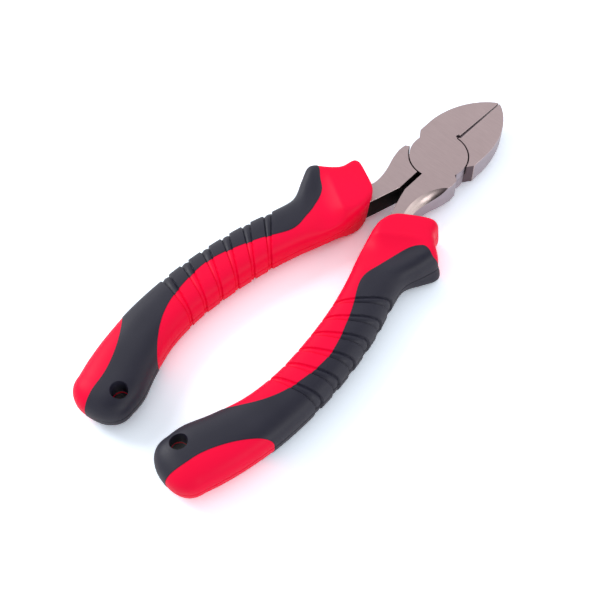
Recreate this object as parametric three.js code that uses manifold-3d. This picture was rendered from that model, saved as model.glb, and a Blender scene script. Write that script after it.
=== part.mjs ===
// Side cutters: two forged steel levers lapped on a flush rivet, each tang in a two-colour moulded grip.
// Millimetres, +Z up, +Y towards the nose. The origin is on the pivot axis, in the joint's lower ground face.
// Both handles are the same set of pieces: the left one is the right one turned over about the Y axis.

import * as THREE from 'three';
import { mergeVertices } from 'three/addons/utils/BufferGeometryUtils.js';
import Module from 'manifold-3d';

// Head and pivot
const HEAD_THICKNESS = 7.4;
const BOSS_RADIUS = 8.9;
const BOSS_CLEARANCE = 0.45;
const LAP_CLEARANCE = 0.1;
const RIVET_RADIUS = 3.2;
const RIVET_HEAD_RADIUS = 4.0;
const RIVET_HEAD_DEPTH = 0.8;
const RIVET_CLEARANCE = 0.06;

// Jaws: the rounded outside, the faces that slope to the nose, the cutting edges and the relief hole behind
const JAW_LENGTH = 30.7;
const JAW_HALF_WIDTH = 10.6;
const JAW_SHOULDER_HEIGHT = 4.2;
const JAW_SHOULDER_ANGLE = 11;
const NOSE_WIDTH = 1.3;
const NOSE_SLANT = 0.65;
const JAW_CURVE_NOSE_PULL = [4.7, 4.1];
const JAW_CURVE_SIDE_PULL = 11.7;
const JAW_SIDE_LENGTH = 4.8;
const NOSE_DROP = 1.7;
const RELIEF_RADIUS = 0.7;
const RELIEF_HEIGHT = 10.0;
const RELIEF_OFFSET = 0.25;
const EDGE_CLEARANCE = 0.12;
const EDGE_DEPTH = 0.45;
const LEFT_TOP_BEVEL = 0.15;
const RIGHT_TOP_BEVEL = 0.8;
const UNDER_BEVEL = 2.2;

// Tangs: the straight slot between them, the shoulder that stops the opening, the part inside the grip
const SLOT_WIDTH = 1.6;
const SLOT_END = 17.5;
const TANG_SHOULDER_ANGLE = 18;
const TANG_SHOULDER_WIDTH = 10.2;
const TANG_SHOULDER_DROP = 3.9;
const TANG_TIP_THICKNESS = 5.0;
const TANG_ROOT_HALF_WIDTH = 2.5;
const TANG_TIP_HALF_WIDTH = 2.1;
const TANG_CLEARANCE = 0.3;
const SCALLOP_RADIUS = 4.0;
const SCALLOP_RISE = 1.25;
const SCALLOP_SETBACK = 1.8;
const SCALLOP_FULL_FROM = -15;
const SCALLOP_RUN_OUT = 5.6;

// Grips: reach behind the pivot and spread from the middle, flat collars, cover layer and hanging hole
const HANDLE_REACH = 125.6;
const HANDLE_SPREAD = 29.9;
const COLLAR_FLAT_THICKNESS = 13.2;
const COVER_THICKNESS = 1.5;
const COVER_GAP = 0.3;
const HOLE_RADIUS = 2.35;
const HOLE_WALL = 0.4546;
const HOLE_ALONG = 0.972;

// Grooves that fan out: where the first and last cross the grip's two edges, as shares of those edges
const GROOVE_COUNT = 6;
const GROOVE_DEPTH = 0.5;
const GROOVE_FLOOR = 0.5;
const GROOVE_INNER_WIDTH = 0.9;
const GROOVE_OUTER_WIDTH = 3.3;
const GROOVE_INNER_SPAN = [0.388, 0.681];
const GROOVE_OUTER_SPAN = [0.321, 0.654];

// Facets
const ROUND_SEGMENTS = 48;
const CURVE_SEGMENTS = 12;
const SCALLOP_SEGMENTS = 28;
const BORDER_SEGMENTS = 2;
const SECTION_POINTS = 20;

// Grip stations from the collar to the rounded end: inner and outer edge as shares of the spread and reach,
// then half the thickness and the squareness of the section
const GRIP_STATIONS = [
  { inner: [0.184, 0.202], outer: [0.502, 0.164], half: 6.4, square: 6.0 },
  { inner: [0.130, 0.222], outer: [0.575, 0.169], half: 6.8, square: 6.0 },
  { inner: [0.110, 0.252], outer: [0.615, 0.196], half: 6.8, square: 6.0 },
  { inner: [0.117, 0.275], outer: [0.712, 0.217], half: 6.8, square: 6.5 },
  { inner: [0.134, 0.299], outer: [0.826, 0.242], half: 6.7, square: 7.0 },
  { inner: [0.164, 0.326], outer: [0.796, 0.282], half: 6.1, square: 4.2 },
  { inner: [0.221, 0.370], outer: [0.732, 0.336], half: 5.6, square: 3.0 },
  { inner: [0.301, 0.422], outer: [0.783, 0.395], half: 5.7, square: 2.9 },
  { inner: [0.388, 0.494], outer: [0.876, 0.471], half: 5.8, square: 2.9 },
  { inner: [0.448, 0.569], outer: [0.943, 0.553], half: 5.8, square: 2.9 },
  { inner: [0.488, 0.649], outer: [0.987, 0.639], half: 5.8, square: 2.9 },
  { inner: [0.498, 0.717], outer: [1.000, 0.725], half: 5.8, square: 2.9 },
  { inner: [0.462, 0.796], outer: [0.985, 0.812], half: 5.9, square: 2.9 },
  { inner: [0.361, 0.872], outer: [0.935, 0.892], half: 5.9, square: 2.9 },
  { inner: [0.254, 0.932], outer: [0.873, 0.955], half: 5.9, square: 2.9 },
  { inner: [0.222, 0.974], outer: [0.814, 1.000], half: 5.7, square: 2.7 },
];

const CORE_FIRST_STATION = 2;

// The rounded end: how far it reaches past the last station
const END_LENGTH = 7.4;
const END_RINGS = 5;
const END_SQUARE = 2.3;

// Where the dark cover meets the sleeve, in the same shares: along the handle, and beside the rear patch
const FRONT_BORDER = [
  [0.970, 0.226], [0.803, 0.240], [0.702, 0.244], [0.610, 0.256], [0.545, 0.273], [0.500, 0.302],
  [0.455, 0.354], [0.441, 0.410], [0.609, 0.489], [0.749, 0.576], [0.783, 0.637], [0.742, 0.719],
  [0.659, 0.775], [0.522, 0.824], [0.341, 0.870], [0.100, 0.927],
];
const REAR_BORDER = [
  [1.137, 0.809], [0.997, 0.828], [0.863, 0.857], [0.716, 0.906], [0.609, 0.960], [0.555, 1.015],
  [0.468, 1.083],
];

// The tang's centre line inside the grip, in the same shares
const TANG_LINE = [
  [0.221, 0.211], [0.264, 0.243], [0.368, 0.307], [0.482, 0.386], [0.589, 0.466], [0.669, 0.545],
  [0.719, 0.625], [0.739, 0.701], [0.729, 0.764],
];

// The tang's outer edge from its shoulder to inside the collar
const TANG_OUTER_EDGE = [
  [10.4, -6.4], [9.7, -10.0], [8.2, -15.0], [7.6, -19.0], [8.0, -22.5], [10.4, -28.6],
];
const TANG_INNER_END = [4.7, -31.0];

const MID_HEIGHT = HEAD_THICKNESS / 2;
const RECESS_RADIUS = BOSS_RADIUS + BOSS_CLEARANCE;
const MARGIN = 5;
const REACH = 400;

const wasm = await Module();
wasm.setup();

// Closed geometry to a solid, and back
function solid(geometry) {
  const bare = geometry.clone();
  bare.deleteAttribute('normal');
  bare.deleteAttribute('uv');
  const merged = mergeVertices(bare, 1e-4);
  return new wasm.Manifold(new wasm.Mesh({
    numProp: 3,
    vertProperties: new Float32Array(merged.attributes.position.array),
    triVerts: new Uint32Array(merged.index.array),
  }));
}

function geometryOf(body) {
  const mesh = body.getMesh();
  const geometry = new THREE.BufferGeometry();
  geometry.setAttribute('position', new THREE.BufferAttribute(new Float32Array(mesh.vertProperties), 3));
  geometry.setIndex(new THREE.BufferAttribute(new Uint32Array(mesh.triVerts), 1));
  return geometry;
}

const radians = THREE.MathUtils.degToRad;
const onHandle = ([aside, along]) => new THREE.Vector2(aside * HANDLE_SPREAD, -along * HANDLE_REACH);
const splineThrough = (places) => new THREE.SplineCurve(places.map(onHandle));

// A plan shape between two heights
function slab(shape, low, high) {
  const geometry = new THREE.ExtrudeGeometry(shape, {
    depth: high - low,
    bevelEnabled: false,
    curveSegments: CURVE_SEGMENTS,
  });
  geometry.translate(0, 0, low);
  return solid(geometry);
}

function upright(radius, x, y, low, high) {
  const geometry = new THREE.CylinderGeometry(radius, radius, high - low, ROUND_SEGMENTS);
  geometry.rotateX(Math.PI / 2);
  geometry.translate(x, y, (low + high) / 2);
  return solid(geometry);
}

// The rivet's outline, flared at both ends to hold the levers, and run on past the faces for the bore
function rivetProfile(clearance, overrun) {
  const flare = (RIVET_HEAD_RADIUS - RIVET_RADIUS) / RIVET_HEAD_DEPTH;
  const head = RIVET_HEAD_RADIUS + clearance + flare * overrun;
  const shank = RIVET_RADIUS + clearance;
  return [
    new THREE.Vector2(0, -overrun),
    new THREE.Vector2(head, -overrun),
    new THREE.Vector2(shank, RIVET_HEAD_DEPTH),
    new THREE.Vector2(shank, HEAD_THICKNESS - RIVET_HEAD_DEPTH),
    new THREE.Vector2(head, HEAD_THICKNESS + overrun),
    new THREE.Vector2(0, HEAD_THICKNESS + overrun),
  ];
}

function turned(profile) {
  const geometry = new THREE.LatheGeometry(profile, ROUND_SEGMENTS);
  geometry.rotateX(Math.PI / 2);
  return geometry;
}

// One lever in plan: left jaw, round boss and the bare right-hand tang, whose sides can be grown
function leverShape(growth) {
  const edge = EDGE_CLEARANCE / 2;
  const slot = SLOT_WIDTH / 2 - growth;
  const jawAngle = Math.PI - radians(JAW_SHOULDER_ANGLE);
  const slotAngle = 1.5 * Math.PI + Math.asin(slot / BOSS_RADIUS);
  const tangAngle = -radians(TANG_SHOULDER_ANGLE);
  const edgeAngle = Math.PI / 2 + Math.asin(edge / BOSS_RADIUS);
  const outerEdge = TANG_OUTER_EDGE.map(([x, y]) => new THREE.Vector2(x + growth, y - growth)).reverse();
  const shape = new THREE.Shape();
  shape.moveTo(-edge, JAW_LENGTH);
  shape.lineTo(-NOSE_WIDTH, JAW_LENGTH - NOSE_SLANT);
  shape.bezierCurveTo(JAW_CURVE_NOSE_PULL[0] - JAW_HALF_WIDTH, JAW_LENGTH - JAW_CURVE_NOSE_PULL[1],
    -JAW_HALF_WIDTH, JAW_LENGTH - JAW_CURVE_SIDE_PULL,
    -JAW_HALF_WIDTH, JAW_SHOULDER_HEIGHT + JAW_SIDE_LENGTH);
  shape.lineTo(-JAW_HALF_WIDTH, JAW_SHOULDER_HEIGHT);
  shape.absarc(0, 0, BOSS_RADIUS, jawAngle, slotAngle, false);
  shape.lineTo(slot, -SLOT_END);
  shape.lineTo(TANG_INNER_END[0] - growth, TANG_INNER_END[1] - growth);
  shape.lineTo(outerEdge[0].x, outerEdge[0].y);
  shape.splineThru(outerEdge.slice(1));
  shape.lineTo(TANG_SHOULDER_WIDTH, -TANG_SHOULDER_DROP);
  shape.absarc(0, 0, BOSS_RADIUS, tangAngle, edgeAngle, false);
  shape.closePath();
  return shape;
}

// A band of tapering width along the tang's centre line, grown by a clearance
function tangBand(clearance) {
  const line = splineThrough(TANG_LINE);
  const steps = 2 * CURVE_SEGMENTS;
  const left = [];
  const right = [];
  for (let i = 0; i <= steps; i += 1) {
    const share = i / steps;
    const point = line.getPointAt(share);
    const along = line.getTangentAt(share);
    const half = THREE.MathUtils.lerp(TANG_ROOT_HALF_WIDTH, TANG_TIP_HALF_WIDTH, share) + clearance;
    if (i === steps) {
      point.addScaledVector(along, clearance);
    }
    left.push(new THREE.Vector2(point.x + along.y * half, point.y - along.x * half));
    right.push(new THREE.Vector2(point.x - along.y * half, point.y + along.x * half));
  }
  return new THREE.Shape(left.concat(right.reverse()));
}

function tangSolid(clearance) {
  const half = TANG_TIP_THICKNESS / 2 + clearance;
  return slab(tangBand(clearance), MID_HEIGHT - half, MID_HEIGHT + half);
}

// Wedges that slope the jaw's faces from the relief hole to the nose, over and under
function jawSlopes() {
  const reach = JAW_LENGTH + MARGIN;
  const fall = NOSE_DROP * (reach - RELIEF_HEIGHT) / (JAW_LENGTH - RELIEF_HEIGHT);
  const wedge = new THREE.Shape();
  wedge.moveTo(RELIEF_HEIGHT, 0);
  wedge.lineTo(reach, -fall);
  wedge.lineTo(reach, MARGIN);
  wedge.lineTo(RELIEF_HEIGHT, MARGIN);
  const width = 2 * (JAW_HALF_WIDTH + MARGIN);
  const over = new THREE.ExtrudeGeometry(wedge, { depth: width, bevelEnabled: false });
  over.applyMatrix4(new THREE.Matrix4().makeBasis(
    new THREE.Vector3(0, 1, 0), new THREE.Vector3(0, 0, 1), new THREE.Vector3(1, 0, 0)));
  over.translate(-width / 2, 0, HEAD_THICKNESS);
  const under = over.clone();
  under.rotateY(Math.PI);
  under.translate(0, 0, HEAD_THICKNESS);
  return solid(over).add(solid(under));
}

// Everything beyond the jaw's two bevels, which meet in a cutting edge just under the face in use.
// The edge falls with that face towards the nose.
function beyondEdge(topBevel) {
  const edge = EDGE_CLEARANCE / 2;
  const rise = EDGE_DEPTH + MARGIN;
  const fall = HEAD_THICKNESS + MARGIN;
  const section = new THREE.Shape();
  section.moveTo(edge, 0);
  section.lineTo(edge + topBevel * rise / EDGE_DEPTH, rise);
  section.lineTo(-JAW_HALF_WIDTH, rise);
  section.lineTo(-JAW_HALF_WIDTH, -fall);
  section.lineTo(edge + UNDER_BEVEL * fall / HEAD_THICKNESS, -fall);
  const length = JAW_LENGTH - RELIEF_HEIGHT;
  const geometry = new THREE.ExtrudeGeometry(section, { depth: length + MARGIN, bevelEnabled: false });
  geometry.applyMatrix4(new THREE.Matrix4().makeBasis(new THREE.Vector3(-1, 0, 0),
    new THREE.Vector3(0, 0, 1), new THREE.Vector3(0, 1, -NOSE_DROP / length)));
  geometry.translate(0, RELIEF_HEIGHT, HEAD_THICKNESS - EDGE_DEPTH);
  return solid(geometry);
}

// The hollow along the tang's outer upper edge, left by a wheel that lifts off before the shoulder
function scallop() {
  const shoulder = TANG_OUTER_EDGE[0][1];
  const path = new THREE.CatmullRomCurve3(TANG_OUTER_EDGE.map(([x, y]) => {
    const share = Math.max(0, (y - SCALLOP_FULL_FROM) / (shoulder - SCALLOP_FULL_FROM));
    const height = HEAD_THICKNESS + SCALLOP_RISE + SCALLOP_RUN_OUT * share ** 2;
    return new THREE.Vector3(x + SCALLOP_SETBACK, y, height);
  }));
  const wheel = new THREE.Shape();
  wheel.absarc(0, 0, SCALLOP_RADIUS, 0, 2 * Math.PI, false);
  return solid(new THREE.ExtrudeGeometry(wheel, {
    steps: SCALLOP_SEGMENTS,
    curveSegments: SCALLOP_SEGMENTS,
    extrudePath: path,
  }));
}

// The lever without its cutting edge
function leverBlank() {
  const recess = upright(RECESS_RADIUS, 0, 0, -MARGIN, MID_HEIGHT + LAP_CLEARANCE / 2);
  const bore = solid(turned(rivetProfile(RIVET_CLEARANCE, MARGIN)));
  return slab(leverShape(0), 0, HEAD_THICKNESS)
    .subtract(scallop())
    .add(tangSolid(0))
    .subtract(recess)
    .subtract(bore)
    .subtract(jawSlopes());
}

function reliefHole(offset) {
  return upright(RELIEF_RADIUS, offset, RELIEF_HEIGHT, -MARGIN, HEAD_THICKNESS + MARGIN);
}

// The lever that carries the left jaw
function upperLever(blank) {
  return geometryOf(blank.subtract(beyondEdge(LEFT_TOP_BEVEL)).subtract(reliefHole(-RELIEF_OFFSET)));
}

// The lever that is used turned over, so that its edge lies near the face it has below here
function lowerLever(blank) {
  const beyond = beyondEdge(RIGHT_TOP_BEVEL).mirror([0, 0, 1]).translate([0, 0, HEAD_THICKNESS]);
  return geometryOf(blank.subtract(beyond).subtract(reliefHole(RELIEF_OFFSET)));
}

// Grip edges as curves, walked by the distance from the front of the collar
const EDGE_STEPS = CURVE_SEGMENTS * (GRIP_STATIONS.length - 1);

function edgeThrough(name) {
  const curve = splineThrough(GRIP_STATIONS.map((station) => station[name]));
  curve.arcLengthDivisions = EDGE_STEPS;
  return curve;
}

const innerEdge = edgeThrough('inner');
const outerEdge = edgeThrough('outer');
const stationPlaces = GRIP_STATIONS.map((_, i) => ({
  inner: innerEdge.getLengths()[i * CURVE_SEGMENTS],
  outer: outerEdge.getLengths()[i * CURVE_SEGMENTS],
  depth: 0,
}));

function stationValue(name, distance) {
  const after = stationPlaces.findIndex((place) => place.inner >= distance);
  const next = Math.max(after, 1);
  const share = (distance - stationPlaces[next - 1].inner)
    / (stationPlaces[next].inner - stationPlaces[next - 1].inner);
  return THREE.MathUtils.lerp(GRIP_STATIONS[next - 1][name], GRIP_STATIONS[next][name], share);
}

// One closed ring of the grip: a rounded box across the handle, drawn in by an inset
function sectionRing(centre, across, halfWidth, halfThickness, square) {
  const ring = [];
  for (let i = 0; i < SECTION_POINTS; i += 1) {
    const angle = 2 * Math.PI * i / SECTION_POINTS;
    const wide = Math.cos(angle);
    const tall = Math.sin(angle);
    const u = Math.sign(wide) * Math.abs(wide) ** (2 / square) * halfWidth;
    const w = Math.sign(tall) * Math.abs(tall) ** (2 / square) * halfThickness;
    ring.push(new THREE.Vector3(centre.x + across.x * u, centre.y + across.y * u, MID_HEIGHT + w));
  }
  return ring;
}

function gripRing(place, inset) {
  const inner = innerEdge.getPointAt(place.inner / innerEdge.getLength());
  const outer = outerEdge.getPointAt(place.outer / outerEdge.getLength());
  const centre = inner.clone().add(outer).multiplyScalar(0.5);
  const across = outer.clone().sub(inner);
  const halfWidth = across.length() / 2;
  const depth = inset + place.depth;
  return sectionRing(centre, across.normalize(), halfWidth - depth,
    stationValue('half', place.inner) - depth, stationValue('square', place.inner));
}

// Rings that round off the rear end, shrinking like a quarter ellipse
function endRings(inset) {
  const last = GRIP_STATIONS[GRIP_STATIONS.length - 1];
  const across = onHandle(last.outer).sub(onHandle(last.inner));
  const centre = onHandle(last.inner).add(onHandle(last.outer)).multiplyScalar(0.5);
  const halfWidth = across.length() / 2 - inset;
  across.normalize();
  const along = new THREE.Vector2(across.y, -across.x);
  const rings = [];
  for (let i = 1; i <= END_RINGS; i += 1) {
    const turn = Math.PI / 2 * i / (END_RINGS + 0.5);
    const reach = (END_LENGTH - inset) * Math.sin(turn) ** (2 / END_SQUARE);
    const shrink = Math.cos(turn) ** (2 / END_SQUARE);
    const place = centre.clone().addScaledVector(along, reach);
    rings.push(sectionRing(place, across, halfWidth * shrink, (last.half - inset) * shrink, last.square));
  }
  return rings;
}

function loft(rings) {
  const positions = rings.flat().flatMap((point) => [point.x, point.y, point.z]);
  const indices = [];
  const count = SECTION_POINTS;
  for (let r = 0; r + 1 < rings.length; r += 1) {
    for (let i = 0; i < count; i += 1) {
      const a = r * count + i;
      const b = r * count + (i + 1) % count;
      indices.push(a, b, a + count, b, b + count, a + count);
    }
  }
  const end = (rings.length - 1) * count;
  for (let i = 1; i + 1 < count; i += 1) {
    indices.push(0, i + 1, i);
    indices.push(end, end + i, end + i + 1);
  }
  const geometry = new THREE.BufferGeometry();
  geometry.setAttribute('position', new THREE.BufferAttribute(new Float32Array(positions), 3));
  geometry.setIndex(indices);
  return solid(geometry);
}

// The four rings of every groove: its front lip, its floor and its rear lip
function groovePlaces() {
  const places = [];
  for (let i = 0; i < GROOVE_COUNT; i += 1) {
    const step = i / (GROOVE_COUNT - 1);
    const inner = innerEdge.getLength() * THREE.MathUtils.lerp(...GROOVE_INNER_SPAN, step);
    const outer = outerEdge.getLength() * THREE.MathUtils.lerp(...GROOVE_OUTER_SPAN, step);
    const lips = [[-1, 0], [-GROOVE_FLOOR, GROOVE_DEPTH], [GROOVE_FLOOR, GROOVE_DEPTH], [1, 0]];
    lips.forEach(([share, depth]) => {
      places.push({
        inner: inner + share * GROOVE_INNER_WIDTH / 2,
        outer: outer + share * GROOVE_OUTER_WIDTH / 2,
        depth,
      });
    });
  }
  return places;
}

function midway(a, b) {
  return { inner: (a.inner + b.inner) / 2, outer: (a.outer + b.outer) / 2, depth: 0 };
}

// The grip's outside, with stations before and behind the grooves
function groovedBody() {
  const grooves = groovePlaces();
  const first = grooves[0];
  const last = grooves[grooves.length - 1];
  const before = stationPlaces.filter((place) => place.inner < first.inner && place.outer < first.outer);
  const behind = stationPlaces.filter((place) => place.inner > last.inner && place.outer > last.outer);
  const places = [...before, midway(before[before.length - 1], first), ...grooves,
    midway(last, behind[0]), ...behind];
  return loft(places.map((place) => gripRing(place, 0)).concat(endRings(0)));
}

// The smooth core that the cover is moulded onto, from behind the collar's front
function core(inset) {
  const places = stationPlaces.slice(CORE_FIRST_STATION);
  return loft(places.map((place) => gripRing(place, inset)).concat(endRings(inset)));
}

// The plan area of the dark cover, drawn in or grown along its two borders
function coverShape(growth) {
  const shifted = (points, side) => {
    const line = splineThrough(points);
    const steps = BORDER_SEGMENTS * (points.length - 1);
    return Array.from({ length: steps + 1 }, (_, i) => {
      const point = line.getPoint(i / steps);
      const along = line.getTangent(i / steps);
      return new THREE.Vector2(point.x + side * along.y * growth, point.y - side * along.x * growth);
    });
  };
  const front = shifted(FRONT_BORDER, 1);
  const rear = shifted(REAR_BORDER, -1);
  const first = front[0];
  const last = rear[rear.length - 1];
  const far = rear[0].x + MARGIN;
  const corners = [
    new THREE.Vector2(front[front.length - 1].x - MARGIN, last.y - MARGIN),
    new THREE.Vector2(last.x, last.y - MARGIN),
  ];
  return new THREE.Shape([...front, ...corners, ...rear.reverse(),
    new THREE.Vector2(far, rear[rear.length - 1].y), new THREE.Vector2(far, first.y)]);
}

// The middle of the hanging hole, a wall's thickness inside the cover layer at the grip's inner edge
function holePlace() {
  const edge = onHandle(GRIP_STATIONS[GRIP_STATIONS.length - 1].inner);
  const aside = edge.x + COVER_THICKNESS + COVER_GAP + HOLE_WALL + HOLE_RADIUS;
  return new THREE.Vector2(aside, -HOLE_ALONG * HANDLE_REACH);
}

function gripGeometries() {
  const low = MID_HEIGHT - COLLAR_FLAT_THICKNESS / 2 - MARGIN;
  const high = MID_HEIGHT + COLLAR_FLAT_THICKNESS / 2 + MARGIN;
  const flats = new THREE.BoxGeometry(REACH, REACH, COLLAR_FLAT_THICKNESS);
  flats.translate(0, 0, MID_HEIGHT);
  const body = groovedBody().intersect(solid(flats));
  const hanging = holePlace();
  const hole = upright(HOLE_RADIUS, hanging.x, hanging.y, low, high);
  const cover = body.intersect(slab(coverShape(-COVER_GAP / 2), low, high))
    .subtract(core(COVER_THICKNESS))
    .subtract(hole);
  const tangRoot = slab(leverShape(TANG_CLEARANCE), -TANG_CLEARANCE, HEAD_THICKNESS + TANG_CLEARANCE);
  const sleeve = body.subtract(slab(coverShape(COVER_GAP / 2), low, high))
    .add(core(COVER_THICKNESS + COVER_GAP))
    .subtract(tangSolid(TANG_CLEARANCE))
    .subtract(tangRoot)
    .subtract(hole);
  return { cover: geometryOf(cover), sleeve: geometryOf(sleeve) };
}

const steel = new THREE.MeshStandardMaterial({ color: 0xaca0a0, roughness: 0.38, metalness: 1.0 });
const redPlastic = new THREE.MeshStandardMaterial({ color: 0xf01436, roughness: 0.45, metalness: 0.0 });
const blackRubber = new THREE.MeshStandardMaterial({ color: 0x3c3e46, roughness: 0.75, metalness: 0.0 });

function named(name, geometry, material) {
  const mesh = new THREE.Mesh(geometry, material);
  mesh.name = name;
  return mesh;
}

const blank = leverBlank();
const grip = gripGeometries();

const rightHandle = new THREE.Group();
rightHandle.add(named('upper_lever', upperLever(blank), steel));
rightHandle.add(named('right_grip_sleeve', grip.sleeve, redPlastic));
rightHandle.add(named('right_grip_cover', grip.cover, blackRubber));

const leftHandle = new THREE.Group();
leftHandle.rotation.y = Math.PI;
leftHandle.position.z = HEAD_THICKNESS;
leftHandle.add(named('lower_lever', lowerLever(blank), steel));
leftHandle.add(named('left_grip_sleeve', grip.sleeve, redPlastic));
leftHandle.add(named('left_grip_cover', grip.cover, blackRubber));

const sideCutters = new THREE.Group();
sideCutters.add(rightHandle);
sideCutters.add(leftHandle);
sideCutters.add(named('pivot_rivet', turned(rivetProfile(0, 0)), steel));

export default sideCutters;
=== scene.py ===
"""Side cutters lying closed on a white studio floor. Metres, +Z up, +Y towards the nose of the jaws."""

import math

import bmesh
import bpy
import numpy as np
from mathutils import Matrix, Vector


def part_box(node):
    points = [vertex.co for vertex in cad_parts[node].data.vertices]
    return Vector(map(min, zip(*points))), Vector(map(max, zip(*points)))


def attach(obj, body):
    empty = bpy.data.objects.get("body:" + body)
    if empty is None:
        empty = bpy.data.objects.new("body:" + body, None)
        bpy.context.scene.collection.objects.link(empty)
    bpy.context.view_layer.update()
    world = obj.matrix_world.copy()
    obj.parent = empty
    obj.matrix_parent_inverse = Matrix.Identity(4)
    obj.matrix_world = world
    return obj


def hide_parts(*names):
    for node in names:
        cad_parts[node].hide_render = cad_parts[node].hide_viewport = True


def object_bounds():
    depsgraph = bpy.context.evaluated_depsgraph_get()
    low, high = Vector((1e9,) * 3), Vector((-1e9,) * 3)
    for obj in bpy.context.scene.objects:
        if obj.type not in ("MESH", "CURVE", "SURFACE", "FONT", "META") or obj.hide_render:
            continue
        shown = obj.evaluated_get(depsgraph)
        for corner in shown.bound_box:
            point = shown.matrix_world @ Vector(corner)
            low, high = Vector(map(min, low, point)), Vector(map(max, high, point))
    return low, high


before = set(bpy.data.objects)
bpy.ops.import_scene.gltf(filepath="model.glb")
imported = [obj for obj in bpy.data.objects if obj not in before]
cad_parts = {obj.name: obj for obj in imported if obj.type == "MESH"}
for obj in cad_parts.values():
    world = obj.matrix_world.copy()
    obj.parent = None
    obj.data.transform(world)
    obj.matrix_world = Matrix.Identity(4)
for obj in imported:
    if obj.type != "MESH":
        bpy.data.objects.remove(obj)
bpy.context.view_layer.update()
scene = bpy.context.scene
scene.view_settings.view_transform = "Standard"


# Camera: it looks down on the tool from behind the right-hand grip, with a short telephoto lens.
# Its turn, rise, distance and lens follow the photographed outline of both handles.
MM = 0.001
VIEW_TURN = math.radians(42.41)
VIEW_RISE = math.radians(56.87)
VIEW_DISTANCE = 357.8 * MM
VIEW_TARGET = Vector((2.69, -65.55, 3.7)) * MM
VIEW_LENS = 75.26
VIEW_SENSOR = 36.0
VIEW_NEAREST = 10 * MM

view_back = Vector((
    math.sin(VIEW_TURN) * math.cos(VIEW_RISE),
    -math.cos(VIEW_TURN) * math.cos(VIEW_RISE),
    math.sin(VIEW_RISE),
))
camera = bpy.data.objects.new("studio_camera", bpy.data.cameras.new("studio_camera"))
camera.data.lens = VIEW_LENS
camera.data.sensor_width = VIEW_SENSOR
camera.data.clip_start = VIEW_NEAREST
camera.location = VIEW_TARGET + VIEW_DISTANCE * view_back
camera.rotation_euler = view_back.to_track_quat("Z", "Y").to_euler()
scene.collection.objects.link(camera)
scene.camera = camera


# Levers: two equal steel forgings, one turned over, lapped at the joint and ground flat on both faces.
# The ground faces are bright, edges are broken by tumbling, and the walls between the tangs stay dark from
# the hardening furnace.
EDGE_ROUND = 0.14 * MM
EDGE_ROUND_STEPS = 2
MERGE_DISTANCE = 0.001 * MM
SLIVER = 0.002 * MM
CRUMB_FACES = 12
FLAT_ANGLE = math.radians(0.5)
SHARP_ANGLE = math.radians(32)
STEEP_FACE = 0.45
FLAT_FACE = 0.995
JOINT_KEEP_OUT = 9.7 * MM
SHOULDER_RADIUS = 9.0 * MM
SHOULDER_REACH = 6.5 * MM
SHOULDER_SLANT = 0.5
RECESS_RADIUS = 9.6 * MM
RECESS_MOUTH = 2.4 * MM
CUTTING_BEVEL = 1.5 * MM
CUTTING_START = 10.5 * MM
NOSE_CORNER = Vector((0.86, 30.281, 5.734)) * MM
NOSE_RUN_OUT = Vector((0.25, 30.600, 5.708)) * MM
NOSE_REACH = 0.05 * MM
HOLLOW_START = -6.5 * MM

NOISE_SPAN = (0.3, 0.7)
GRAIN_DETAIL = 3.0
CLOUD_DETAIL = 2.0
EVEN_GRAIN = (1.0, 1.0, 1.0)

GROUND_COLOUR = (0.475, 0.372, 0.382, 1)
GROUND_SHADE = (0.430, 0.335, 0.345, 1)
GROUND_STRETCH = (0.06, 1.0, 1.0)
GROUND_GRAIN_SCALE = 4500.0
GROUND_CLOUD_SCALE = 120.0
GROUND_ROUGHNESS = (0.32, 0.40)
GROUND_BUMP = 0.10
GROUND_BUMP_DEPTH = 0.02 * MM

EDGE_COLOUR = (0.50, 0.41, 0.415, 1)
EDGE_GRAIN_SCALE = 2500.0
EDGE_CLOUD_SCALE = 300.0
EDGE_ROUGHNESS = (0.22, 0.34)

SIDE_COLOUR = (0.47, 0.42, 0.48, 1)
SIDE_SHADE = (0.41, 0.365, 0.42, 1)
SIDE_STRETCH = (1.0, 1.0, 0.3)
SIDE_GRAIN_SCALE = 2600.0
SIDE_CLOUD_SCALE = 260.0
SIDE_ROUGHNESS = (0.34, 0.46)
SIDE_BUMP = 0.10
SIDE_BUMP_DEPTH = 0.03 * MM

# The hollow's colour: bright ground steel, running into painted shade towards its front end.
HOLLOW_COLOUR = (0.66, 0.545, 0.52, 1)
HOLLOW_PAINTED_SHADE = (0.11, 0.085, 0.090, 1)
HOLLOW_PAINTED_SHADE_SPAN = (-20 * MM, -9 * MM)
HOLLOW_STRETCH = (1.0, 0.05, 1.0)
HOLLOW_GRAIN_SCALE = 7000.0
HOLLOW_CLOUD_SCALE = 200.0
HOLLOW_ROUGHNESS = (0.24, 0.34)

# Dark scale colours: furnace scale on the walls between the tangs, and painted shade on the cutting bevels
# and in the gap round the boss.
SCALE_AND_SHADE_COLOUR = (0.006, 0.005, 0.005, 1)
SCALE_AND_SHADE_BROWN = (0.120, 0.088, 0.105, 1)
SCALE_SPAN = (-8 * MM, 1 * MM)
SCALE_GRAIN_SCALE = 3000.0
SCALE_CLOUD_SCALE = 400.0
SCALE_ROUGHNESS = (0.40, 0.55)
SCALE_BUMP = 0.25
SCALE_BUMP_DEPTH = 0.05 * MM
SCALE_SPECULAR = 0.12


def add(tree, kind, inputs=None, **settings):
    """A node with its settings. Each input is a plain value, or another node's output to link."""
    node = tree.nodes.new(kind)
    for name, value in settings.items():
        setattr(node, name, value)
    for name, value in (inputs or {}).items():
        if isinstance(value, bpy.types.NodeSocket):
            tree.links.new(value, node.inputs[name])
        else:
            node.inputs[name].default_value = value
    return node


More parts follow.
